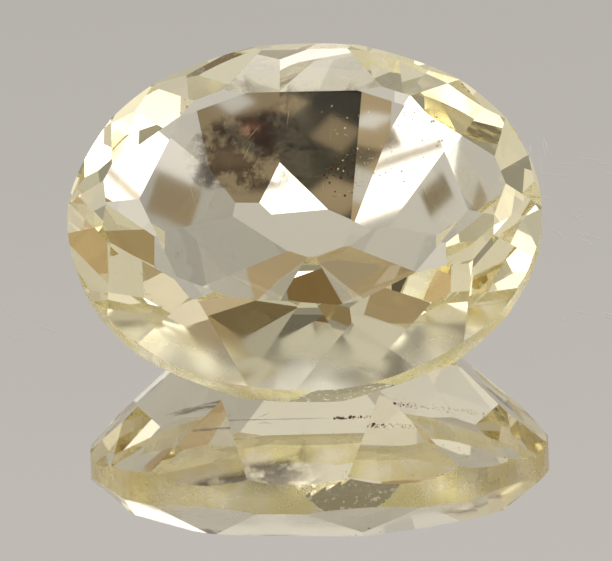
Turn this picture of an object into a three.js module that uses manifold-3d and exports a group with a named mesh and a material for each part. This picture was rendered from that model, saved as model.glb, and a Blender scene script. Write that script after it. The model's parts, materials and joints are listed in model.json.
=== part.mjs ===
// A faceted orthoclase: an oval gem cut by hand, lying on a facet of its pavilion.
// Millimetres, +Z up. The origin is the middle of the stone's box, on the surface that it rests on.
// +X runs along the oval and -Y is the side that the table leans to.
import * as THREE from 'three';
import { mergeVertices } from 'three/addons/utils/BufferGeometryUtils.js';
import Module from 'manifold-3d';

// Oval of the girdle
const girdleLength = 12.0;
const girdleWidth = 9.72;
const girdleSides = 96;
const crownEdgeHeight = 0.38;
const pavilionEdgeDepth = 0.38;

// Crown, above the middle of the girdle; slopes are from the girdle's plane, in degrees
const tableHeight = 1.42;
const bezelPlaces = [180, 220, 263, 303, 352, 40, 90, 140];
const bezelSlope = 28;
const bezelEndSlope = 40;
const breakSlope = 36;
const breakInset = 0.03;
const starSlope = 11;
const tableShare = 0.64;
const farBreakPlace = 90;
const farBreakSlope = 44;

// Pavilion, below the middle of the girdle
const mains = [
  { place: 0, slope: 44 },
  { place: 30, slope: 42 },
  { place: 52, slope: 42 },
  { place: 64, slope: 43 },
  { place: 71, slope: 42.3 },
  { place: 79, slope: 42 },
  { place: 113, slope: 43.6 },
  { place: 127, slope: 45 },
  { place: 150, slope: 42 },
  { place: 180, slope: 44 },
  { place: 215, slope: 46 },
  { place: 266, slope: 48 },
  { place: 322, slope: 45 },
];
const lowerBreakSlope = 56;
const lowerBreakInset = 0.015;

// A small facet across the ridge between the two far mains, through one point of that ridge
const ridgeFacetPlace = 91;
const ridgeFacetSlope = 36;
const ridgeFacetX = -0.41;
const ridgeFacetY = 1.92;

// Culet facets, each one some way out from the culet; the stone rests on the one at place 270
const culetDepth = 4.39;
const culetX = 0.15;
const culetY = -0.05;
const restingSlope = 27.5;
const culetFacets = [
  { place: 0, slope: 28, out: 0.25 },
  { place: 50, slope: 27, out: 0.15 },
  { place: 90, slope: 29.5, out: 0 },
  { place: 130, slope: 27, out: 0.15 },
  { place: 180, slope: 28, out: 0.25 },
  { place: 225, slope: 26, out: 0.06 },
  { place: 270, slope: restingSlope, out: 0 },
  { place: 315, slope: 26, out: 0 },
];

// Healed crack: a thin gap, its plane along the oval and leaning to the far side. Its outline is round and
// gives places along the oval and up the crack. A narrow tongue of it meets the far facets of the crown
const crackThickness = 0.04;
const crackLean = 23;
const crackHeight = -0.35;
const crackOutline = [
  [-3.2, 1.5], [-2.4, 0.55], [0.2, 0.4], [3.0, 0.5], [4.2, 1.5], [2.8, 2.8],
  [0.7, 3.1], [0.3, 4.2], [-0.3, 4.2], [-0.6, 3.2], [-2.4, 2.7],
];
const crackStepsPerPoint = 6;

const weldDistance = 1e-4;

const wasm = await Module();
wasm.setup();

function solidOf(geometry) {
  geometry.deleteAttribute('normal');
  geometry.deleteAttribute('uv');
  const merged = mergeVertices(geometry, weldDistance);
  return new wasm.Manifold(new wasm.Mesh({
    numProp: 3,
    vertProperties: merged.attributes.position.array,
    triVerts: new Uint32Array(merged.index.array),
  }));
}

function geometryOf(solid) {
  const mesh = solid.getMesh();
  const geometry = new THREE.BufferGeometry();
  geometry.setAttribute('position', new THREE.BufferAttribute(mesh.vertProperties, 3));
  geometry.setIndex(new THREE.BufferAttribute(mesh.triVerts, 1));
  return geometry;
}

// The rough stone before faceting: an upright oval cylinder, its side the girdle
function girdledRough() {
  const height = 4 * culetDepth;
  const rough = new THREE.CylinderGeometry(1, 1, height, girdleSides);
  rough.rotateX(Math.PI / 2);
  rough.scale(girdleLength / 2, girdleWidth / 2, 1);
  return solidOf(rough);
}

// Grinds one flat facet: takes away everything beyond the plane through point, facing along normal
function grind(stone, normal, point) {
  const reach = 3 * girdleLength;
  const waste = new THREE.BoxGeometry(reach, reach, reach);
  waste.translate(0, 0, reach / 2);
  waste.applyQuaternion(new THREE.Quaternion().setFromUnitVectors(new THREE.Vector3(0, 0, 1), normal));
  waste.translate(point.x, point.y, point.z);
  return stone.subtract(solidOf(waste));
}

// Level direction square to the oval at a place round it, and the point there, drawn in by inset
function ovalAt(place, inset = 0) {
  const t = THREE.MathUtils.degToRad(place);
  const out = new THREE.Vector3(girdleWidth * Math.cos(t), girdleLength * Math.sin(t), 0).normalize();
  const point = new THREE.Vector3(girdleLength * Math.cos(t), girdleWidth * Math.sin(t), 0);
  point.multiplyScalar((1 - inset) / 2);
  return { out, point };
}

function facetNormal(out, slope, side) {
  const angle = THREE.MathUtils.degToRad(slope);
  return out.clone().multiplyScalar(Math.sin(angle)).setZ(side * Math.cos(angle));
}

// How far a place is turned towards the oval's ends, from 0 at the long sides to 1 at the ends
function towardsEnd(place) {
  return Math.cos(THREE.MathUtils.degToRad(place)) ** 4;
}

// The place half way from one facet of a ring to the next
function between(places, i) {
  const next = places[(i + 1) % places.length];
  const gap = (next - places[i] + 720) % 360;
  return places[i] + gap / 2;
}

function cutCrown(rough) {
  let stone = grind(rough, new THREE.Vector3(0, 0, 1), new THREE.Vector3(0, 0, tableHeight));
  const steeper = bezelEndSlope - bezelSlope;
  for (let i = 0; i < bezelPlaces.length; i += 1) {
    const bezel = ovalAt(bezelPlaces[i]);
    bezel.point.z = crownEdgeHeight;
    const slope = bezelSlope + steeper * towardsEnd(bezelPlaces[i]);
    stone = grind(stone, facetNormal(bezel.out, slope, 1), bezel.point);

    const place = between(bezelPlaces, i);
    const girdleBreak = ovalAt(place, breakInset);
    girdleBreak.point.z = crownEdgeHeight;
    const breakAngle = breakSlope + steeper * towardsEnd(place);
    stone = grind(stone, facetNormal(girdleBreak.out, breakAngle, 1), girdleBreak.point);

    const star = ovalAt(place, 1 - tableShare);
    star.point.z = tableHeight;
    stone = grind(stone, facetNormal(star.out, starSlope, 1), star.point);
  }
  const extra = ovalAt(farBreakPlace, breakInset);
  extra.point.z = crownEdgeHeight;
  return grind(stone, facetNormal(extra.out, farBreakSlope, 1), extra.point);
}

// Height of the pavilion's mains under a point of the girdle's plane
function mainsHeight(x, y) {
  const heights = mains.map(({ place, slope }) => {
    const main = ovalAt(place);
    const normal = facetNormal(main.out, slope, -1);
    const inward = (main.point.x - x) * normal.x + (main.point.y - y) * normal.y;
    return -pavilionEdgeDepth + inward / normal.z;
  });
  return Math.max(...heights);
}

function cutPavilion(crowned) {
  let stone = crowned;
  const mainPlaces = mains.map((facet) => facet.place);
  for (let i = 0; i < mains.length; i += 1) {
    const main = ovalAt(mains[i].place);
    main.point.z = -pavilionEdgeDepth;
    stone = grind(stone, facetNormal(main.out, mains[i].slope, -1), main.point);

    const lower = ovalAt(between(mainPlaces, i), lowerBreakInset);
    lower.point.z = -pavilionEdgeDepth;
    stone = grind(stone, facetNormal(lower.out, lowerBreakSlope, -1), lower.point);
  }
  const ridgeTop = new THREE.Vector3(ridgeFacetX, ridgeFacetY, mainsHeight(ridgeFacetX, ridgeFacetY));
  stone = grind(stone, facetNormal(ovalAt(ridgeFacetPlace).out, ridgeFacetSlope, -1), ridgeTop);

  const culet = new THREE.Vector3(culetX, culetY, -culetDepth);
  for (const { place, slope, out } of culetFacets) {
    const normal = facetNormal(ovalAt(place).out, slope, -1);
    stone = grind(stone, normal, culet.clone().addScaledVector(normal, out));
  }
  return stone;
}

function openCrack(stone) {
  const corners = crackOutline.map(([along, up]) => new THREE.Vector2(along, up));
  const rim = new THREE.SplineCurve([...corners, corners[0]]).getPoints(crackStepsPerPoint * corners.length);
  const gap = new THREE.ExtrudeGeometry(new THREE.Shape(rim), { depth: crackThickness, bevelEnabled: false });
  gap.rotateX(THREE.MathUtils.degToRad(crackLean));
  gap.translate(0, 0, crackHeight);
  return stone.subtract(solidOf(gap));
}

// Lays the stone on its resting facet and centres its box on the origin
function laidDown(geometry) {
  geometry.rotateX(THREE.MathUtils.degToRad(restingSlope));
  geometry.computeBoundingBox();
  const box = geometry.boundingBox;
  geometry.translate(-(box.min.x + box.max.x) / 2, -(box.min.y + box.max.y) / 2, -box.min.z);
  return geometry;
}

const clearOrthoclase = new THREE.MeshStandardMaterial({ color: 0xeee3b8, roughness: 0.04, metalness: 0 });

const cutStone = openCrack(cutPavilion(cutCrown(girdledRough())));
const gem = new THREE.Mesh(laidDown(geometryOf(cutStone)), clearOrthoclase);
gem.name = 'orthoclase_gem';

const stone = new THREE.Group();
stone.add(gem);

export default stone;
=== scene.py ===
import json
import math
import random

import bmesh
import bpy
from bpy.props import FloatProperty, FloatVectorProperty, IntProperty, PointerProperty
from mathutils import Matrix, Vector, noise


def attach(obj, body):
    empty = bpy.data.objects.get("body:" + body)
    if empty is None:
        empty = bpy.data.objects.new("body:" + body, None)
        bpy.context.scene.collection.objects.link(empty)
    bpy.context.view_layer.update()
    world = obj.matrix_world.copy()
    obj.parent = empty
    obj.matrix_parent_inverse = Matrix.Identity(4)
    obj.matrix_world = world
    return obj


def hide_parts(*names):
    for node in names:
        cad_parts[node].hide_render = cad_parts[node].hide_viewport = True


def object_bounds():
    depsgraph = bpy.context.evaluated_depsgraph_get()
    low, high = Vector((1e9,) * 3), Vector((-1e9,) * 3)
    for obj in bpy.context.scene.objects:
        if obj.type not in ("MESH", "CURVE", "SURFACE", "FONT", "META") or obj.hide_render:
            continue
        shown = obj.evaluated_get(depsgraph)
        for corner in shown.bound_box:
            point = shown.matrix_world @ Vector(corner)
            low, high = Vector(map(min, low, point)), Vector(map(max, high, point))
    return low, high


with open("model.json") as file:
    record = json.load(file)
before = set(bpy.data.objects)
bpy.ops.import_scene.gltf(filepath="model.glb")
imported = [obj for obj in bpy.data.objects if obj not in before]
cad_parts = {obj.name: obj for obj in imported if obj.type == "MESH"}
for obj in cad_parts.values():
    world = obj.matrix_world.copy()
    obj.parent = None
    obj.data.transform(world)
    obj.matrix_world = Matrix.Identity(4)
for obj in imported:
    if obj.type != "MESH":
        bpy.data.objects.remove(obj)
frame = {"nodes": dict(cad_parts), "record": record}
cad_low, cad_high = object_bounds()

bl_info = {
    "name": "Oval Orthoclase Gem",
    "version": (1, 0, 0),
    "blender": (4, 5, 0),
    "location": "View3D > Sidebar > Gem",
    "description": "Dresses a faceted oval orthoclase with its polish, ground girdle and inclusions",
    "category": "Object",
}

MM = 0.001
NODE = "orthoclase_gem"
BODY = "root"
WHITE = (1.0, 1.0, 1.0, 1)

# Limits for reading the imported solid: angle between the triangles of one facet, length and area that are
# nothing, distance of equal corners, lean of the girdle's faces, and depth at which a face is the crack's
FLAT = math.radians(0.5)
SHORTEST = 0.001 * MM
SLIVER = 0.0001 * MM * MM
SAME_CORNER = 0.0001 * MM
UPRIGHT = 0.02
INNER_DEPTH = 0.2 * MM


# Where the stone lies


def table_direction():
    """Outward direction of the table facet, from the mount that names it."""
    mount = next(m for m in frame["record"]["mounts"] if m["name"] == "table")
    return Vector(mount["axis"]).normalized()


def merge_facets(made):
    """Joins the triangles of each flat facet into one face."""
    bmesh.ops.dissolve_degenerate(made, dist=SHORTEST, edges=made.edges)
    bmesh.ops.dissolve_limit(made, angle_limit=FLAT, verts=made.verts, edges=made.edges)


def stone_solid():
    """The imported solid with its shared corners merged."""
    solid = bmesh.new()
    solid.from_mesh(frame["nodes"][NODE].data)
    bmesh.ops.remove_doubles(solid, verts=solid.verts, dist=SAME_CORNER)
    return solid


def stone_skin():
    """The stone's outer facets as one closed mesh: the hull of its corners, as it bulges everywhere."""
    skin = stone_solid()
    bmesh.ops.delete(skin, geom=skin.edges[:], context="EDGES_FACES")
    bmesh.ops.convex_hull(skin, input=skin.verts)
    bmesh.ops.delete(skin, geom=[vert for vert in skin.verts if not vert.link_faces], context="VERTS")
    bmesh.ops.recalc_face_normals(skin, faces=skin.faces)
    merge_facets(skin)
    return skin


def on_girdle(face):
    """Whether a facet of the skin belongs to the upright band round the stone."""
    return abs(face.normal.dot(table_direction())) < UPRIGHT and face.calc_area() > SLIVER


def stone_frame():
    """The stone's own axes: x along the oval, y to its far side, z out of the table, from mid girdle."""
    up = table_direction()
    along = Vector((1, 0, 0))
    across = up.cross(along).normalized()
    skin = stone_skin()
    corners = [vert.co.copy() for face in skin.faces if on_girdle(face) for vert in face.verts]
    skin.free()
    centre = Vector((0, 0, 0))
    for axis in (along, across, up):
        reach = [corner.dot(axis) for corner in corners]
        centre += axis * (min(reach) + max(reach)) / 2
    return Matrix.Translation(centre) @ Matrix((along, across, up)).transposed().to_4x4()


STONE = stone_frame()


def facet_planes():
    """Each outer facet's outward normal and its distance, in the stone's own axes."""
    skin = stone_skin()
    skin.transform(STONE.inverted())
    skin.normal_update()
    large = [face for face in skin.faces if face.calc_area() > SLIVER]
    planes = [(face.normal.copy(), face.normal.dot(face.verts[0].co)) for face in large]
    skin.free()
    return planes


PLANES = facet_planes()


def depth_inside(point):
    """How far a point in the stone's own axes lies under the nearest facet."""
    return min(reach - normal.dot(point) for normal, reach in PLANES)


def crack_wall():
    """The healed crack's axes in the stone's own, x along the oval and y up the crack, and its outline."""
    made = stone_solid()
    made.transform(STONE.inverted())
    merge_facets(made)
    inner = [face for face in made.faces if depth_inside(face.calc_center_median()) > INNER_DEPTH]
    wall = max(inner, key=lambda face: face.calc_area())
    out = wall.normal if wall.normal.z > 0 else -wall.normal
    along = Vector((1, 0, 0))
    axes = Matrix((along, out.cross(along), out)).transposed().to_4x4()
    axes.translation = out * out.dot(wall.verts[0].co)
    to_crack = axes.inverted()
    outline = [(to_crack @ vert.co).to_2d() for vert in wall.verts]
    made.free()
    return axes, outline


CRACK, CRACK_OUTLINE = crack_wall()


# Sizes and colours


class StoneSettings(bpy.types.PropertyGroup):
    refractive_index: FloatProperty(
        name="Refractive index", description="Of orthoclase", default=1.522, min=1, max=3)
    body_colour: FloatVectorProperty(
        name="Body colour", description="Colour that the stone absorbs towards",
        subtype="COLOR", size=3, min=0, max=1, default=(0.82, 0.70, 0.10))
    colour_density: FloatProperty(
        name="Colour density", description="Absorption per metre of stone", default=42.0, min=0)
    frosting: FloatProperty(
        name="Frosting", description="Roughness of the ground girdle", default=0.24, min=0, max=1)
    girdle_colour: FloatVectorProperty(
        name="Girdle colour", description="Tint of the ground girdle",
        subtype="COLOR", size=3, min=0, max=1, default=(0.90, 0.81, 0.34))
    # The bare girdle's colour is painted shade: dark olive where the polished patch shows dark
    bare_painted_shade: FloatVectorProperty(
        name="Bare girdle", description="Tint of the part of the girdle that was left unground",
        subtype="COLOR", size=3, min=0, max=1, default=(0.24, 0.22, 0.14))
    bare_middle: FloatProperty(
        name="Bare girdle, middle", description="Middle of the unground part", subtype="DISTANCE",
        default=0.98 * MM)
    bare_width: FloatProperty(
        name="Bare girdle, width", description="Width of the unground part, half way up the girdle",
        subtype="DISTANCE", default=2.1 * MM)
    bare_taper: FloatProperty(
        name="Bare girdle, taper", description="How much the unground part narrows with its height",
        default=1.9)
    haze: FloatProperty(
        name="Haze", description="Roughness of the low facets of the crown on the near side",
        default=0.34, min=0, max=1)
    polish_lines: FloatProperty(
        name="Polish lines", description="Roughness of the fine lines that the lap left",
        default=0.02, min=0, max=1)


class InclusionSettings(bpy.types.PropertyGroup):
    rim_gap: FloatProperty(
        name="Rim gap", description="Distance that the crack's film keeps from its outline",
        subtype="DISTANCE", default=0.06 * MM)
    veil_thickness: FloatProperty(
        name="Film thickness", description="Thickness of the healed crack's film",
        subtype="DISTANCE", default=0.02 * MM)
    stain_end: FloatProperty(
        name="Stain end", description="How far right the iron stain reaches",
        subtype="DISTANCE", default=0.6 * MM)
    veil_colour: FloatVectorProperty(
        name="Veil colour", description="Colour of the healed crack",
        subtype="COLOR", size=3, min=0, max=1, default=(0.80, 0.72, 0.50))
    stain_colour: FloatVectorProperty(
        name="Stain colour", description="Colour of the iron stain",
        subtype="COLOR", size=3, min=0, max=1, default=(0.10, 0.035, 0.012))
    spark_count: IntProperty(
        name="Sparks", description="Number of small bright flakes in the crack", default=110, min=0)
    needle_count: IntProperty(
        name="Needles", description="Number of hair-fine needles by the crack", default=14, min=0)
    rust_count: IntProperty(
        name="Rust grains", description="Number of grains of rust in the crack", default=26, min=0)
    seed: IntProperty(name="Seed", description="Start of the random draws", default=7)


class StageSettings(bpy.types.PropertyGroup):
    floor_colour: FloatVectorProperty(
        name="Floor", description="Colour of the polished floor",
        subtype="COLOR", size=3, min=0, max=1, default=(0.92, 0.905, 0.885))
    wall_grey: FloatProperty(
        name="Walls", description="Brightness of the foot of the pale walls", default=0.50)
    wall_rise: FloatProperty(
        name="Wall rise", description="How much brighter the walls are at the top", default=0.075)
    pale_tint: FloatVectorProperty(
        name="Pale tint", description="Tint of the walls and pale cards",
        subtype="COLOR", size=3, min=0, max=1, default=(1.0, 0.965, 0.91))
    brown_tint: FloatVectorProperty(
        name="Brown tint", description="Tint of the brown cards",
        subtype="COLOR", size=3, min=0, max=1, default=(1.0, 0.75, 0.43))
    amber_tint: FloatVectorProperty(
        name="Amber tint", description="Tint of the amber card overhead",
        subtype="COLOR", size=3, min=0, max=1, default=(1.0, 0.62, 0.24))
    rust_tint: FloatVectorProperty(
        name="Rust tint", description="Tint of the rust cards",
        subtype="COLOR", size=3, min=0, max=1, default=(1.0, 0.42, 0.24))
    camera_drop: FloatProperty(
        name="Camera height", description="Angle of the camera above the floor", subtype="ANGLE",
        default=math.radians(37.5))
    camera_turn: FloatProperty(
        name="Camera turn", description="Angle of the camera round the stone", subtype="ANGLE",
        default=math.radians(3.8))
    camera_roll: FloatProperty(
        name="Camera roll", description="Tilt of the picture", subtype="ANGLE",
        default=math.radians(3.5))


SETTINGS = {"gem_stone": StoneSettings, "gem_inclusions": InclusionSettings, "gem_stage": StageSettings}


# Node helpers


class Tree:
    """Short calls that build one node tree."""

    def __init__(self, tree):
        self.nodes = tree.nodes
        self.links = tree.links

    def add(self, kind, inputs=None, **settings):
        """A new node with its settings; an input takes another node's socket or a plain value."""
        node = self.nodes.new("ShaderNode" + kind)
        for name, value in settings.items():
            setattr(node, name, value)
        for key, value in (inputs or {}).items():
            self.feed(node.inputs[key], value)
        return node

    def feed(self, socket, value):
        """Links another node's socket to this one, or sets its plain value."""
        if isinstance(value, bpy.types.NodeSocket):
            self.links.new(value, socket)
        else:
            socket.default_value = value

    def math(self, operation, first, second=0.0, clamp=False):
        return self.add("Math", {0: first, 1: second}, operation=operation, use_clamp=clamp).outputs[0]

    def between(self, value, low, high, out_low=0.0, out_high=1.0):
        """Maps low..high to out_low..out_high, softly and with no overshoot."""
        node = self.add(
            "MapRange",
            {"Value": value, "From Min": low, "From Max": high, "To Min": out_low, "To Max": out_high},
            interpolation_type="SMOOTHSTEP")
        return node.outputs["Result"]

    def mix(self, share, first, second):
        """The first colour at share 0 and the second at 1."""
        node = self.add("Mix", {"Factor": share}, data_type="RGBA")
        self.feed(node.inputs[6], first)
        self.feed(node.inputs[7], second)
        return node.outputs[2]

    def noise(self, vector, scale, detail=3.0, roughness=0.55):
        """Uneven values about 0.5; the scale is in waves per metre."""
        node = self.add(
            "TexNoise", {"Vector": vector, "Scale": scale, "Detail": detail, "Roughness": roughness})
        return node.outputs["Fac"]


def new_material(name):
    """A material, its tree and its Principled shader."""
    material = bpy.data.materials.new(name)
    material.use_nodes = True
    return material, Tree(material.node_tree), material.node_tree.nodes["Principled BSDF"]


def new_group(name, inputs, outputs):
    """An empty shader node group; inputs have a name, a socket type and a default, outputs no default."""
    group = bpy.data.node_groups.new(name, "ShaderNodeTree")
    for title, kind, default in inputs:
        socket = group.interface.new_socket(name=title, in_out="INPUT", socket_type=kind)
        if default is not None:
            socket.default_value = default
    for title, kind in outputs:
        group.interface.new_socket(name=title, in_out="OUTPUT", socket_type=kind)
    tree = Tree(group)
    return group, tree, tree.nodes.new("NodeGroupInput"), tree.nodes.new("NodeGroupOutput")


def fine_lines_group():
    """Parallel hair lines of uneven strength that come and go in patches."""
    group, tree, given, result = new_group(
        "Fine lines",
        (("Vector", "NodeSocketVector", None), ("Across", "NodeSocketFloat", 1.0),
         ("Along", "NodeSocketFloat", 1.0), ("Patches", "NodeSocketFloat", 1.0),
         ("Cover", "NodeSocketFloat", 0.5)),
        (("Lines", "NodeSocketFloat"),))
    scale = tree.add("CombineXYZ", {"X": given.outputs["Across"], "Y": given.outputs["Along"], "Z": 1.0})
    drawn = tree.add(
        "VectorMath", {0: given.outputs["Vector"], 1: scale.outputs[0]}, operation="MULTIPLY")
    lines = tree.between(tree.noise(drawn.outputs[0], 1.0, 2.0, 0.5), 0.42, 0.62)
    patch = tree.noise(given.outputs["Vector"], given.outputs["Patches"], 3.0, 0.6)
    uncovered = tree.math("SUBTRACT", 1.0, given.outputs["Cover"])
    shown = tree.between(tree.math("SUBTRACT", patch, uncovered), -0.06, 0.12)
    tree.feed(result.inputs["Lines"], tree.math("MULTIPLY", lines, shown))
    return group


def fine_lines(tree, vector, across, along, patches, cover):
    """Places the shared fine lines in a material: waves per metre across, along and of the patches."""
    group = bpy.data.node_groups.get("Fine lines") or fine_lines_group()
    given = {"Vector": vector, "Across": across, "Along": along, "Patches": patches, "Cover": cover}
    return tree.add("Group", given, node_tree=group).outputs["Lines"]


# Mesh helpers


def link_piece(name, mesh, matrix=None):
    """A new object in the scene that rides with the stone."""
    piece = bpy.data.objects.new(name, mesh)
    bpy.context.scene.collection.objects.link(piece)
    if matrix is not None:
        piece.matrix_world = matrix
    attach(piece, BODY)
    return piece


def mesh_from(made, name):
    """Ends the work on a mesh and stores it."""
    mesh = bpy.data.meshes.new(name)
    made.to_mesh(mesh)
    made.free()
    return mesh


# The cut stone

# Waves per metre of what is worn or left on the stone, of the painted sheen on the ground girdle and of
# the painted glints on its bare part
RAGGED_SCALE = 5000.0
DRIFT_SCALE = 500.0
SHEEN_SCALE = 650.0
GLINT_SCALE = 9000.0
LAP_SCALE = 16000.0
WORN_SCALE = 420.0
GRAIN_SCALE = 26000.0
FROST_SCALE = 1500.0

# The haze begins below the first height and is full below the second, and so from far to near
HAZE_HEIGHTS = (3.6 * MM, 2.4 * MM)
HAZE_PLACES = (-1.8 * MM, -2.6 * MM)

# Cream painted in patches onto the ground girdle as painted sheen
PAINTED_GIRDLE_SHEEN = (1.0, 0.98, 0.88, 1)
# Pale specks painted on the bare part of the girdle as painted glints
PAINTED_GLINT = (0.9, 0.88, 0.8, 1)
RAGGED_REACH = 0.06 * MM
GRAIN_DEPTH = 0.01 * MM
LAP_SEED = 11


def stone_mesh():
    """The stone's skin with each facet as one face, a mask on the girdle and the lap's direction."""
    made = stone_skin()
    girdle = made.faces.layers.float.new("ground_girdle")
    lap = made.faces.layers.float_vector.new("lap_direction")
    draw = random.Random(LAP_SEED)
    for face in made.faces:
        face.smooth = False
        face[girdle] = 1.0 if on_girdle(face) else 0.0
        turn = Matrix.Rotation(draw.uniform(0, math.pi), 3, face.normal)
        face[lap] = turn @ face.normal.orthogonal().normalized()
    return mesh_from(made, "cut_stone")


def crown_height(tree, place):
    """Height above the middle of the girdle, towards the table."""
    up = table_direction()
    along = tree.add("VectorMath", {0: place, 1: up}, operation="DOT_PRODUCT").outputs["Value"]
    return tree.math("SUBTRACT", along, STONE.translation.dot(up))


def unground_part(tree, place, settings):
    """1 where the near side of the girdle was left unground: a ragged patch, narrower at the crown, which
    stays polished and is painted dark olive as painted shade, with painted glints.
    """
    height = crown_height(tree, place)
    parts = tree.add("SeparateXYZ", {0: place}).outputs
    off = tree.math("ABSOLUTE", tree.math("SUBTRACT", parts["X"], settings.bare_middle))
    ragged = tree.between(tree.noise(place, RAGGED_SCALE, 3.0), 0.3, 0.7, -RAGGED_REACH, RAGGED_REACH)
    narrowing = tree.math("MULTIPLY", height, settings.bare_taper / 2)
    reach = tree.math("SUBTRACT", settings.bare_width / 2, narrowing)
    inside = tree.math("GREATER_THAN", tree.math("ADD", reach, ragged), off)
    near = tree.math("LESS_THAN", parts["Y"], STONE.translation.y)
    return tree.math("MULTIPLY", inside, near)


def low_haze(tree, place, settings):
    """Roughness of the hazy near side of the crown, growing towards the floor in drifts."""
    parts = tree.add("SeparateXYZ", {0: place}).outputs
    low = tree.between(parts["Z"], *HAZE_HEIGHTS)
    near = tree.between(parts["Y"], *HAZE_PLACES)
    drift = tree.between(tree.noise(place, DRIFT_SCALE, 3.0), 0.35, 0.6, 0.4, 1.0)
    on_crown = tree.math("GREATER_THAN", crown_height(tree, place), 0.0)
    depth = tree.math("MULTIPLY", tree.math("MULTIPLY", low, near), drift)
    return tree.math("MULTIPLY", tree.math("MULTIPLY", depth, on_crown), settings.haze)


def clear_stone_material(settings):
    """Clear, faintly yellow and polished, with fine lap lines; ground and frosted on the girdle, with
    painted cream sheen in patches, and painted shade with painted glints on the girdle's bare part.
    """
    material, tree, shader = new_material("clear_orthoclase")
    shader.inputs["IOR"].default_value = settings.refractive_index
    shader.inputs["Transmission Weight"].default_value = 1
    place = tree.add("TexCoord").outputs["Object"]
    girdle = tree.add("Attribute", attribute_name="ground_girdle").outputs["Fac"]
    bare = tree.math("MULTIPLY", girdle, unground_part(tree, place, settings))
    ground = tree.math("SUBTRACT", girdle, bare)
    # Painted sheen: the ground girdle is khaki with cream patches that stand in for its sheen
    sheen_patches = tree.between(tree.noise(place, SHEEN_SCALE, 5.0), 0.42, 0.60)
    khaki_and_sheen = tree.mix(sheen_patches, (*settings.girdle_colour, 1), PAINTED_GIRDLE_SHEEN)
    # Painted shade and painted glints: the bare patch is dark olive with small pale specks
    glints = tree.between(tree.noise(place, GLINT_SCALE, 2.0), 0.60, 0.68)
    olive_shade_and_glints = tree.mix(glints, (*settings.bare_painted_shade, 1), PAINTED_GLINT)
    tint = tree.mix(bare, tree.mix(ground, WHITE, khaki_and_sheen), olive_shade_and_glints)
    tree.feed(shader.inputs["Base Color"], tint)
    lap = tree.add("Attribute", attribute_name="lap_direction").outputs["Vector"]
    across = tree.add("VectorMath", {0: place, 1: lap}, operation="DOT_PRODUCT").outputs["Value"]
    lined = tree.add("CombineXYZ", {"X": across, "Y": 0.0, "Z": 0.0}).outputs[0]
    lines = fine_lines(tree, lined, LAP_SCALE, 1.0, 1.0, 1.0)
    worn = tree.between(tree.noise(place, WORN_SCALE, 3.0), 0.56, 0.70)
    lines = tree.math("MULTIPLY", lines, worn)
    grain = tree.noise(place, GRAIN_SCALE, 4.0, 0.7)
    smooth = tree.math("MULTIPLY", lines, settings.polish_lines, clamp=True)
    smooth = tree.math("ADD", smooth, low_haze(tree, place, settings))
    finest, coarsest = 0.5 * settings.frosting, 1.6 * settings.frosting
    frost = tree.between(tree.noise(place, FROST_SCALE, 3.0), 0.3, 0.7, finest, coarsest)
    rough = tree.add("Mix", {"Factor": ground, 2: smooth, 3: frost}, data_type="FLOAT").outputs[0]
    tree.feed(shader.inputs["Roughness"], rough)
    bump = tree.add("Bump", {
        "Strength": 0.5, "Distance": GRAIN_DEPTH,
        "Height": tree.math("MULTIPLY", grain, ground)})
    tree.feed(shader.inputs["Normal"], bump.outputs["Normal"])
    inside = tree.add("VolumeAbsorption")
    inside.inputs["Color"].default_value = (*settings.body_colour, 1)
    inside.inputs["Density"].default_value = settings.colour_density
    tree.feed(tree.nodes["Material Output"].inputs["Volume"], inside.outputs["Volume"])
    return material


class GEM_OT_stone(bpy.types.Operator):
    """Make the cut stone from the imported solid, polish its facets and frost its girdle"""

    bl_idname = "gem.stone"
    bl_label = "Cut stone"

    def execute(self, context):
        settings = context.scene.gem_stone
        mesh = stone_mesh()
        mesh.materials.append(clear_stone_material(settings))
        stone = link_piece("cut_stone", mesh)
        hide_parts(NODE)
        return {"FINISHED"}


# The healed crack and what lies in it

VEIL_COLUMNS = 150
VEIL_ROWS = 56
RIM_COLUMNS = 16

# Share of light that the film's hair lines and its stain stop, and the stain's soft edge
LINE_COVER = 0.07
STAIN_COVER = 0.75
STAIN_FADE = 1.6 * MM

# Scatter of flakes and grains to both sides of the film
SCATTER = 0.02 * MM

PALE_FLAKE = (0.98, 0.96, 0.86, 1)
GOLD_FLAKE = (0.93, 0.80, 0.52, 1)
PALE_NEEDLE = (0.95, 0.92, 0.80, 1)
TAN_NEEDLE = (0.75, 0.66, 0.42, 1)
RED_RUST = (0.20, 0.07, 0.02, 1)


def veil_wave(x, y):
    """How far the crack's film bows out of its plane."""
    broad = 0.03 * MM * noise.noise(Vector((x, y, 0)) * 700)
    return broad + 0.01 * MM * noise.noise(Vector((x, y, 3)) * 3500)


def veil_reach(settings):
    """Left and right end of the film."""
    places = [corner.x for corner in CRACK_OUTLINE]
    return min(places) + settings.rim_gap, max(places) - settings.rim_gap


def veil_span(x, settings):
    """Near and far edge of the film at a place along the oval."""
    crossings = []
    for first, second in zip(CRACK_OUTLINE, CRACK_OUTLINE[1:] + CRACK_OUTLINE[:1]):
        if min(first.x, second.x) <= x < max(first.x, second.x):
            share = (x - first.x) / (second.x - first.x)
            crossings.append(first.y + (second.y - first.y) * share)
    near, far = min(crossings), max(crossings)
    gap = min(settings.rim_gap, (far - near) / 3)
    return near + gap, far - gap


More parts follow.
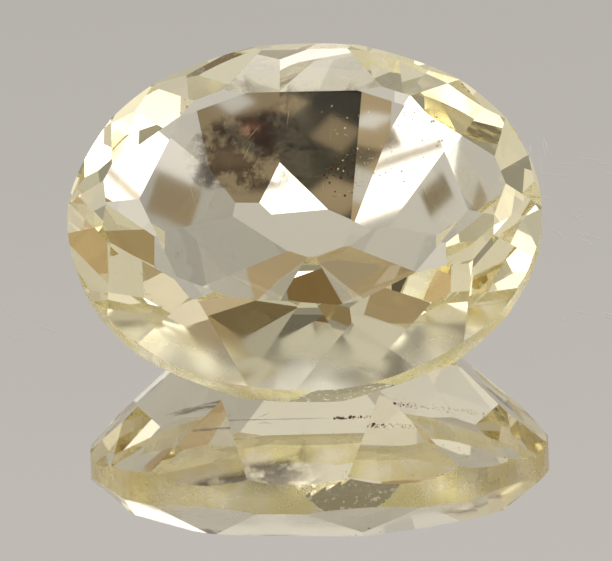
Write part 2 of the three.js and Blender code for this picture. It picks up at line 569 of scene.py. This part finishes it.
def veil_mesh(settings):
    """The film: a thin closed sheet; its rim distance is 0 at the rim and 1 where the film is whole."""
    made = bmesh.new()
    rim = made.verts.layers.float.new("rim_distance")
    left, right = veil_reach(settings)
    rows = []
    for i in range(VEIL_COLUMNS + 1):
        x = left + (right - left) * i / VEIL_COLUMNS
        near, far = veil_span(x, settings)
        row = []
        for j in range(VEIL_ROWS + 1):
            y = near + (far - near) * j / VEIL_ROWS
            vert = made.verts.new((x, y, veil_wave(x, y)))
            vert[rim] = min(i, VEIL_COLUMNS - i, 2 * j, 2 * (VEIL_ROWS - j)) / RIM_COLUMNS
            row.append(vert)
        rows.append(row)
    for i in range(VEIL_COLUMNS):
        for j in range(VEIL_ROWS):
            made.faces.new((rows[i][j], rows[i + 1][j], rows[i + 1][j + 1], rows[i][j + 1]))
    bmesh.ops.solidify(made, geom=made.faces[:], thickness=settings.veil_thickness)
    bmesh.ops.recalc_face_normals(made, faces=made.faces)
    return mesh_from(made, "healed_crack")


def veil_material(settings):
    """A thin film of fine striations, pale where it is clean and dark brown where iron has stained it."""
    material, tree, shader = new_material("healed_crack")
    place = tree.add("TexCoord").outputs["Object"]
    across = tree.add("SeparateXYZ", {0: place}).outputs["X"]
    rim = tree.add("Attribute", attribute_name="rim_distance").outputs["Fac"]
    lines = fine_lines(tree, place, 14000.0, 900.0, 800.0, 0.46)
    stain = tree.between(across, settings.stain_end, settings.stain_end - STAIN_FADE)
    blotch = tree.between(tree.noise(place, 1300.0, 4.0, 0.65), 0.36, 0.56)
    stain = tree.math("MULTIPLY", stain, blotch)
    colour = tree.mix(stain, (*settings.veil_colour, 1), (*settings.stain_colour, 1))
    tree.feed(shader.inputs["Base Color"], colour)
    thin = tree.math("MULTIPLY", lines, LINE_COVER)
    film = tree.math("ADD", thin, tree.math("MULTIPLY", stain, STAIN_COVER), clamp=True)
    faded = tree.math("MULTIPLY", film, tree.between(rim, 0.0, 1.0))
    tree.feed(shader.inputs["Alpha"], faded)
    shader.inputs["Roughness"].default_value = 0.35
    return material


def uneven_roughness(tree, shader, place, scale, smoothest, roughest):
    """Lets a surface change softly from smooth to rough."""
    rough = tree.between(tree.noise(place, scale), 0.3, 0.7, smoothest, roughest)
    tree.feed(shader.inputs["Roughness"], rough)


def spindle(made, centre, along, length, thickness, sides):
    """A small closed spindle, pointed at both ends."""
    along = along.normalized()
    side = along.orthogonal().normalized()
    ends = [made.verts.new(centre + along * length / 2 * sign) for sign in (1, -1)]
    ring = []
    for k in range(sides):
        turn = Matrix.Rotation(2 * math.pi * k / sides, 3, along)
        ring.append(made.verts.new(centre + turn @ side * thickness / 2))
    for k in range(sides):
        following = ring[(k + 1) % sides]
        made.faces.new((ends[0], ring[k], following))
        made.faces.new((ends[1], following, ring[k]))


def sparks_mesh(settings):
    """Small flakes and bubbles strewn over the right part of the crack."""
    made = bmesh.new()
    draw = random.Random(settings.seed)
    for _ in range(settings.spark_count):
        x = draw.triangular(0.3 * MM, veil_reach(settings)[1], 2.4 * MM)
        near, far = veil_span(x, settings)
        y = draw.uniform(near, far)
        centre = Vector((x, y, veil_wave(x, y) + draw.gauss(0, SCATTER)))
        along = Vector((draw.gauss(0, 1), draw.gauss(0, 1), draw.gauss(0, 0.4)))
        length = draw.triangular(0.02, 0.11, 0.035) * MM
        spindle(made, centre, along, length, length * draw.uniform(0.4, 0.8), 6)
    bmesh.ops.recalc_face_normals(made, faces=made.faces)
    return mesh_from(made, "sparks")


def sparks_material():
    """Half-metallic flakes, some pale and some golden."""
    material, tree, shader = new_material("bright_flakes")
    place = tree.add("TexCoord").outputs["Object"]
    share = tree.between(tree.noise(place, 2600.0), 0.4, 0.6)
    tree.feed(shader.inputs["Base Color"], tree.mix(share, PALE_FLAKE, GOLD_FLAKE))
    uneven_roughness(tree, shader, place, 9000.0, 0.05, 0.3)
    shader.inputs["Metallic"].default_value = 0.6
    return material


def needles_mesh(settings):
    """A few long hair-fine needles, most of them near the crack's left end."""
    made = bmesh.new()
    draw = random.Random(settings.seed + 1)
    for _ in range(settings.needle_count):
        x = draw.choice((draw.uniform(-3.0, -1.0), draw.uniform(-1.0, 2.6))) * MM
        y = draw.uniform(0.4, 2.6) * MM
        centre = Vector((x, y, draw.gauss(0, 0.25 * MM)))
        along = Vector((draw.gauss(0.3, 0.4), 1, draw.gauss(0, 0.25)))
        length = draw.uniform(0.3, 0.8) * MM
        spindle(made, centre, along, length, draw.uniform(0.008, 0.016) * MM, 5)
    bmesh.ops.recalc_face_normals(made, faces=made.faces)
    return mesh_from(made, "needles")


def needles_material():
    """Pale needles with tan lengths."""
    material, tree, shader = new_material("pale_needles")
    place = tree.add("TexCoord").outputs["Object"]
    tint = tree.mix(tree.noise(place, 3000.0), PALE_NEEDLE, TAN_NEEDLE)
    tree.feed(shader.inputs["Base Color"], tint)
    uneven_roughness(tree, shader, place, 8000.0, 0.1, 0.4)
    return material


def rust_mesh(settings):
    """Small rough grains of iron oxide in the crack."""
    made = bmesh.new()
    draw = random.Random(settings.seed + 2)
    for _ in range(settings.rust_count):
        x = draw.triangular(0.4, 1.7, 0.9) * MM
        near, far = veil_span(x, settings)
        y = draw.uniform(near, near + (far - near) * 0.5)
        size = draw.triangular(0.01, 0.045, 0.016) * MM
        grain = bmesh.ops.create_icosphere(made, subdivisions=2, radius=size)
        lift = veil_wave(x, y) + draw.gauss(0, SCATTER)
        for vert in grain["verts"]:
            bumpy = 1 + 0.5 * noise.noise(vert.co * 60000 + Vector((x, y, 0)) * 9000)
            vert.co = vert.co * bumpy + Vector((x, y, lift))
    return mesh_from(made, "rust_grains")


def rust_material(settings):
    """Dark brown rust with redder spots."""
    material, tree, shader = new_material("iron_rust")
    place = tree.add("TexCoord").outputs["Object"]
    share = tree.between(tree.noise(place, 12000.0, 4.0), 0.35, 0.65)
    tint = tree.mix(share, (*settings.stain_colour, 1), RED_RUST)
    tree.feed(shader.inputs["Base Color"], tint)
    uneven_roughness(tree, shader, place, 20000.0, 0.5, 0.9)
    return material


class GEM_OT_inclusions(bpy.types.Operator):
    """Make the healed crack inside the stone with its flakes, needles and grains of rust"""

    bl_idname = "gem.inclusions"
    bl_label = "Inclusions"

    def execute(self, context):
        settings = context.scene.gem_inclusions
        axes = STONE @ CRACK
        for name, mesh, material in (
            ("healed_crack", veil_mesh(settings), veil_material(settings)),
            ("sparks", sparks_mesh(settings), sparks_material()),
            ("needles", needles_mesh(settings), needles_material()),
            ("rust_grains", rust_mesh(settings), rust_material(settings)),
        ):
            mesh.materials.append(material)
            link_piece(name, mesh, axes)
        return {"FINISHED"}


# The stage

# The picture in pixels: its size, the stone's length and place in it, and the focal length. The sensor's
# width is in millimetres
IMAGE_WIDTH = 612
IMAGE_HEIGHT = 561
STONE_PIXELS = 474
STONE_COLUMN = 305
STONE_ROW = 220
FOCAL_PIXELS = 5400
SENSOR_WIDTH = 36

# Distances on the stage, in metres
NEAREST = 0.005
FARTHEST = 10
STAGE_RADIUS = 0.6
FLOOR_HALF = 1.5
FLOOR_DROP = 0.02 * MM

LIGHT_BOUNCES = 32

# Soft boxes at the sides: azimuth from behind the stone to its right, elevation, width and height in
# degrees, and brightness
SOFT_BOXES = (
    ("left_box", -80, 28, 36, 32, 1.0),
    ("right_box", 80, 30, 36, 40, 1.0),
)

# Cards, sheets and walls round the stone in the same measures, each over the ones before it, with their
# grey and tint
CARDS = (
    ("ceiling", 0, 90, 360, 60, 0.30, "pale_tint"),
    ("zenith", 0, 90, 360, 15, 0.14, "pale_tint"),
    ("high_back", 0, 67, 130, 14, 0.62, "pale_tint"),
    ("high_back_left", -33, 63.5, 12, 4, 0.85, "pale_tint"),
    ("tan_card", -18.2, 60, 4, 4, 0.42, "brown_tint"),
    ("brown_card", 9, 61, 8, 5, 0.26, "brown_tint"),
    ("dark_card", -13, 62, 7, 8, 0.005, "brown_tint"),
    ("back_strip", -5, 57.7, 12, 2.4, 2.6, "pale_tint"),
    ("overhead_brown", -98, 80.7, 24, 5, 0.19, "amber_tint"),
    ("overhead_sheet", -82, 82.6, 14, 2.6, 1.4, "pale_tint"),
    ("overhead_left_sheet", -57, 84.6, 24, 2.4, 1.8, "pale_tint"),
    ("high_left_sheet", -38, 80, 34, 7, 3.0, "pale_tint"),
    ("high_left_card", -38, 75, 14, 3, 0.85, "pale_tint"),
    ("front_left_high", -149, 66, 28, 14, 0.62, "pale_tint"),
    ("front_right_high", 124, 68.8, 10, 4, 0.44, "pale_tint"),
    ("front_right_upper", 118, 58, 30, 5, 0.32, "brown_tint"),
    ("right_ceiling_brown", 108.5, 64.5, 9, 5, 0.16, "brown_tint"),
    ("left_ceiling_brown", -73.5, 61.5, 6, 4, 0.28, "brown_tint"),
    ("right_high", 69, 66, 14, 16, 0.58, "pale_tint"),
    ("back_left_strip", -20, 55.5, 5, 3.4, 2.4, "pale_tint"),
    ("back_left_sheet", -37, 56.5, 19, 10, 2.3, "pale_tint"),
    ("back_left_end", -30, 57.3, 6, 1.9, 0.5, "pale_tint"),
    ("back_left_bar", -29.5, 55.86, 5, 0.1, 0.26, "brown_tint"),
    ("back_left_notch", -29.5, 55.6, 0.7, 0.3, 0.22, "brown_tint"),
    ("back_right_sheet", 45, 49.5, 10, 6, 2.3, "pale_tint"),
    ("back_right_bar", 43, 49.22, 5, 0.1, 0.50, "brown_tint"),
    ("back_right_card", 36.7, 45.1, 4, 3, 0.75, "pale_tint"),
    ("right_gap", 28.3, 49.8, 3.4, 2.4, 0.44, "pale_tint"),
    ("right_gap_sheet", 27.9, 49.2, 1.0, 0.7, 0.9, "pale_tint"),
    ("right_gap_bar", 28.1, 49.78, 1.1, 0.42, 0.28, "brown_tint"),
    ("left_gap", -41.3, 46.6, 3, 2, 0.66, "pale_tint"),
    ("left_gap_bar", -41.1, 46.62, 0.8, 0.26, 0.2, "brown_tint"),
    ("far_left_bar", -59, 42.6, 1.4, 0.22, 0.3, "brown_tint"),
    ("left_brown", -92.5, 46.8, 5, 3, 0.34, "brown_tint"),
    ("left_dark", -90.8, 56.5, 8, 6, 0.26, "brown_tint"),
    ("left_pale", -82, 51.7, 6, 3, 0.92, "pale_tint"),
    ("window_card", 0, 51.5, 24, 6, 0.62, "pale_tint"),
    ("window_left", 18, 35.5, 6, 4, 0.38, "pale_tint"),
    ("left_wall", -30, 22.5, 20, 9, 0.75, "pale_tint"),
    ("low_back", -2, 11, 24, 22, 0.82, "pale_tint"),
    ("low_back_sheet", -1, 9.4, 14, 1.0, 1.3, "pale_tint"),
    ("low_back_right", 18.3, 14, 15.5, 12, 0.46, "brown_tint"),
    ("low_back_left", -19, 11, 9, 8, 0.42, "brown_tint"),
    ("low_strip_left", -20, 3.5, 24, 6, 0.90, "pale_tint"),
    ("low_right", 33, 9, 10, 8, 0.4, "brown_tint"),
    ("left_floor_card", -72, 7, 16, 10, 0.62, "brown_tint"),
    ("front_wall", 180, 30, 60, 60, 0.75, "pale_tint"),
    ("front_sheet", 178, 33, 14, 10, 1.0, "pale_tint"),
    ("front_strip", 176, 32.8, 3, 2.4, 2.2, "pale_tint"),
    ("camera_shade", -169.5, 28.3, 8, 9, 0.05, "brown_tint"),
    ("front_right_wall", 130, 17, 34, 32, 0.66, "pale_tint"),
    ("front_right_low", 127, 6, 16, 9, 0.5, "brown_tint"),
    ("front_right_pale", 114, 17, 8, 8, 0.9, "pale_tint"),
    ("front_right_sheet", 131.2, 25, 4, 12, 2.6, "pale_tint"),
    ("front_right_low_sheet", 134, 12.8, 3, 1.6, 1.4, "pale_tint"),
    ("front_right_brown", 150.2, 19, 5, 6, 0.36, "brown_tint"),
    ("front_right_top", 137, 49, 24, 16, 1.1, "pale_tint"),
    ("right_floor_sheet", 107.5, 5.5, 19, 6.4, 3.0, "pale_tint"),
    ("front_left_card", -130, 36, 50, 40, 0.74, "pale_tint"),
    ("front_left_sheet", -133, 12, 34, 11, 1.6, "pale_tint"),
    ("front_left_low_sheet", -126, 7.8, 8, 5, 3.4, "pale_tint"),
    ("front_left_dim", -139, 16.3, 5, 3, 0.55, "pale_tint"),
    ("front_left_spot", -142, 40.5, 3, 2, 2.4, "pale_tint"),
)

# Small cards that hang by a corner, over the others
KITES = (
    ("gold_kite", -13.95, 60.14, 0.9, 0.26, 0.42, "brown_tint"),
    ("olive_kite", -13.1, 60.55, 1.2, 0.46, 0.24, "brown_tint"),
    ("low_kite", -13.5, 61.28, 1.8, 0.5, 0.34, "brown_tint"),
    ("strip_top_kite", -17.9, 59.76, 1.2, 0.2, 0.8, "pale_tint"),
    ("strip_dark_kite", -18.4, 60.14, 1.2, 0.26, 0.08, "brown_tint"),
    ("strip_low_kite", -18.6, 60.5, 1.6, 0.5, 0.62, "pale_tint"),
    ("black_kite", 9.9, 60.97, 2.6, 0.6, 0.005, "brown_tint"),
    ("pale_kite", 9.0, 60.6, 1.0, 0.3, 0.6, "pale_tint"),
    ("streak_kite", 9.2, 61.27, 1.2, 0.2, 0.5, "brown_tint"),
    ("rust_kite", 9.5, 60.9, 0.6, 0.24, 0.34, "rust_tint"),
)

# Soft edge of the cards in degrees, and of the kites as a share of their size
CARD_EDGE = 0.03
KITE_EDGE = 0.2

# Elevations, in degrees, between which the walls grow brighter
WALL_RISES = (33.0, 43.0)

# Scratches of the floor: the columns and rows of the picture that they lie in, their tilt in degrees and
# their number. Lengths are in pixels, the spread of the tilt in degrees, and half widths in metres
SCRATCHES = (
    ((530, 548), (140, 180), 75, 5),
    ((545, 612), (158, 176), 8, 7),
    ((545, 612), (195, 245), 28, 12),
    ((555, 612), (308, 322), 4, 4),
    ((0, 60), (300, 340), 24, 4),
    ((60, 95), (465, 475), 5, 1),
    ((10, 30), (255, 265), 12, 2),
)
SCRATCH_SEED = 5
SCRATCH_LENGTHS = (6, 34)
SCRATCH_SPREAD = 9
SCRATCH_HALF_WIDTHS = (0.008 * MM, 0.02 * MM)


def direction(azimuth, elevation):
    """Unit vector from the stone; azimuth 0 is behind it and 90 to its right, in degrees."""
    a = math.radians(azimuth)
    e = math.radians(elevation)
    return Vector((math.sin(a) * math.cos(e), math.cos(a) * math.cos(e), math.sin(e)))


def add_floor(settings):
    """A polished metal floor just under the stone."""
    made = bmesh.new()
    bmesh.ops.create_grid(made, x_segments=1, y_segments=1, size=FLOOR_HALF)
    floor = bpy.data.objects.new("floor", mesh_from(made, "floor"))
    floor.location.z = -FLOOR_DROP
    bpy.context.scene.collection.objects.link(floor)
    material, tree, shader = new_material("polished_floor")
    shader.inputs["Base Color"].default_value = (*settings.floor_colour, 1)
    shader.inputs["Metallic"].default_value = 0.98
    shader.inputs["Roughness"].default_value = 0.02
    floor.data.materials.append(material)


def floor_point(column, row, camera):
    """The point of the floor that a pixel of the picture shows."""
    across = (column - STONE_COLUMN) / FOCAL_PIXELS
    down = (row - STONE_ROW) / FOCAL_PIXELS
    ray = camera.matrix_world.to_3x3() @ Vector((across, -down, -1))
    start = camera.matrix_world.translation
    return start - ray * start.z / ray.z


def add_scratches(camera):
    """Faint pale scratches and dust on the polished floor, beside the stone."""
    made = bmesh.new()
    draw = random.Random(SCRATCH_SEED)
    for columns, rows, tilt, count in SCRATCHES:
        for _ in range(count):
            column = draw.uniform(*columns)
            row = draw.uniform(*rows)
            half = draw.uniform(*SCRATCH_LENGTHS) / 2
            turn = math.radians(draw.gauss(tilt, SCRATCH_SPREAD))
            over, down = half * math.cos(turn), half * math.sin(turn)
            first = floor_point(column - over, row - down, camera)
            last = floor_point(column + over, row + down, camera)
            along = last - first
            side = along.cross(Vector((0, 0, 1))).normalized() * draw.uniform(*SCRATCH_HALF_WIDTHS)
            middle = (first + last) / 2
            corners = (first, middle - side, last, middle + side)
            made.faces.new([made.verts.new(corner) for corner in corners])
    scratches = bpy.data.objects.new("floor_scratches", mesh_from(made, "floor_scratches"))
    bpy.context.scene.collection.objects.link(scratches)
    material, tree, shader = new_material("floor_scratches")
    shader.inputs["Base Color"].default_value = WHITE
    shader.inputs["Roughness"].default_value = 0.4
    place = tree.add("TexCoord").outputs["Object"]
    tree.feed(shader.inputs["Alpha"], tree.between(tree.noise(place, 700.0), 0.3, 0.7, 0.05, 0.5))
    scratches.data.materials.append(material)


def add_soft_box(name, azimuth, elevation, width, height, brightness):
    """A lamp facing the stone; its size is the angle that it fills."""
    light = bpy.data.lights.new(name, "AREA")
    light.shape = "RECTANGLE"
    light.size = 2 * STAGE_RADIUS * math.tan(math.radians(width / 2))
    light.size_y = 2 * STAGE_RADIUS * math.tan(math.radians(height / 2))
    light.energy = brightness * math.pi * light.size * light.size_y
    lamp = bpy.data.objects.new(name, light)
    place = direction(azimuth, elevation)
    lamp.location = place * STAGE_RADIUS
    lamp.rotation_euler = place.to_track_quat("Z", "Y").to_euler()
    bpy.context.scene.collection.objects.link(lamp)


def card_mask(tree, angles, middle, size):
    """1 inside a card's angles and 0 outside them, with a soft edge."""
    mask = 1.0
    for angle, centre, width in zip(angles, middle, size):
        away = tree.math("SUBTRACT", angle, centre)
        wrapped = tree.add("Math", {0: away, 1: 180.0, 2: -180.0}, operation="WRAP").outputs[0]
        off = tree.math("ABSOLUTE", wrapped)
        inside = tree.between(off, width / 2 + CARD_EDGE / 2, width / 2 - CARD_EDGE / 2)
        mask = tree.math("MULTIPLY", inside, mask)
    return mask


def kite_mask(tree, angles, middle, size):
    """1 inside a card that hangs by a corner and 0 outside it, with a soft edge."""
    reach = 0.0
    for angle, centre, width in zip(angles, middle, size):
        off = tree.math("ABSOLUTE", tree.math("SUBTRACT", angle, centre))
        reach = tree.math("ADD", tree.math("DIVIDE", off, width / 2), reach)
    return tree.between(reach, 1 + KITE_EDGE / 2, 1 - KITE_EDGE / 2)


def toned(tint, grey):
    """A tint at a card's grey, as a colour."""
    return (*(part * grey for part in tint), 1)


def add_surroundings(scene, settings):
    """Pale walls all round, hung with paler and darker cards."""
    world = bpy.data.worlds.new("studio")
    scene.world = world
    world.use_nodes = True
    tree = Tree(world.node_tree)
    way = tree.add("SeparateXYZ", {0: tree.add("TexCoord").outputs["Generated"]})
    azimuth = tree.math("DEGREES", tree.math("ARCTAN2", way.outputs["X"], way.outputs["Y"]))
    elevation = tree.math("DEGREES", tree.math("ARCSINE", way.outputs["Z"]))
    foot = toned(settings.pale_tint, settings.wall_grey)
    top = toned(settings.pale_tint, settings.wall_grey + settings.wall_rise)
    seen = tree.mix(tree.between(elevation, *WALL_RISES), foot, top)
    for shape, cards in ((card_mask, CARDS), (kite_mask, KITES)):
        for name, across, up, width, height, grey, tint in cards:
            mask = shape(tree, (azimuth, elevation), (across, up), (width, height))
            seen = tree.mix(mask, seen, toned(getattr(settings, tint), grey))
            seen.node.label = name
    tree.feed(tree.nodes["Background"].inputs["Color"], seen)


def add_camera(scene, settings):
    """A long lens above the near side of the stone."""
    pixel = (cad_high[0] - cad_low[0]) / STONE_PIXELS
    turn, drop, roll = settings.camera_turn, settings.camera_drop, settings.camera_roll
    forward = Vector((-math.sin(turn) * math.cos(drop), math.cos(turn) * math.cos(drop), -math.sin(drop)))
    level = Vector((math.cos(turn), math.sin(turn), 0))
    upward = level.cross(forward)
    right = level * math.cos(roll) - upward * math.sin(roll)
    top = level * math.sin(roll) + upward * math.cos(roll)
    lens = bpy.data.cameras.new("camera")
    camera = bpy.data.objects.new("camera", lens)
    scene.collection.objects.link(camera)
    place = STONE.translation - forward * FOCAL_PIXELS * pixel
    camera.matrix_world = Matrix.Translation(place) @ Matrix((right, top, -forward)).transposed().to_4x4()
    lens.sensor_width = SENSOR_WIDTH
    lens.lens = FOCAL_PIXELS / IMAGE_WIDTH * lens.sensor_width
    lens.shift_x = (IMAGE_WIDTH / 2 - STONE_COLUMN) / IMAGE_WIDTH
    lens.shift_y = (STONE_ROW - IMAGE_HEIGHT / 2) / IMAGE_WIDTH
    lens.clip_start = NEAREST
    lens.clip_end = FARTHEST
    scene.camera = camera
    return camera


def set_light_paths(scene):
    """Enough bounces for light that runs round inside the stone."""
    scene.view_settings.view_transform = "Standard"
    cycles = scene.cycles
    cycles.max_bounces = LIGHT_BOUNCES
    cycles.glossy_bounces = LIGHT_BOUNCES
    cycles.transmission_bounces = LIGHT_BOUNCES
    cycles.transparent_max_bounces = LIGHT_BOUNCES


class GEM_OT_stage(bpy.types.Operator):
    """Make the floor, the surroundings, the lamps and the camera"""

    bl_idname = "gem.stage"
    bl_label = "Stage"

    def execute(self, context):
        scene = context.scene
        settings = scene.gem_stage
        add_floor(settings)
        for box in SOFT_BOXES:
            add_soft_box(*box)
        add_surroundings(scene, settings)
        add_scratches(add_camera(scene, settings))
        set_light_paths(scene)
        return {"FINISHED"}


OPERATORS = (GEM_OT_stone, GEM_OT_inclusions, GEM_OT_stage)


class GEM_PT_panel(bpy.types.Panel):
    bl_label = "Oval gem"
    bl_idname = "GEM_PT_panel"
    bl_space_type = "VIEW_3D"
    bl_region_type = "UI"
    bl_category = "Gem"

    def draw(self, context):
        for operator in OPERATORS:
            self.layout.operator(operator.bl_idname)
        for name, group in SETTINGS.items():
            for key in group.__annotations__:
                self.layout.prop(getattr(context.scene, name), key)


CLASSES = (*SETTINGS.values(), *OPERATORS, GEM_PT_panel)


def register():
    for made in CLASSES:
        bpy.utils.register_class(made)
    for name, group in SETTINGS.items():
        setattr(bpy.types.Scene, name, PointerProperty(type=group))


def unregister():
    for name in SETTINGS:
        delattr(bpy.types.Scene, name)
    for made in reversed(CLASSES):
        bpy.utils.unregister_class(made)


def main():
    register()
    bpy.ops.gem.stone()
    bpy.ops.gem.inclusions()
    bpy.ops.gem.stage()


if __name__ == "__main__":
    main()
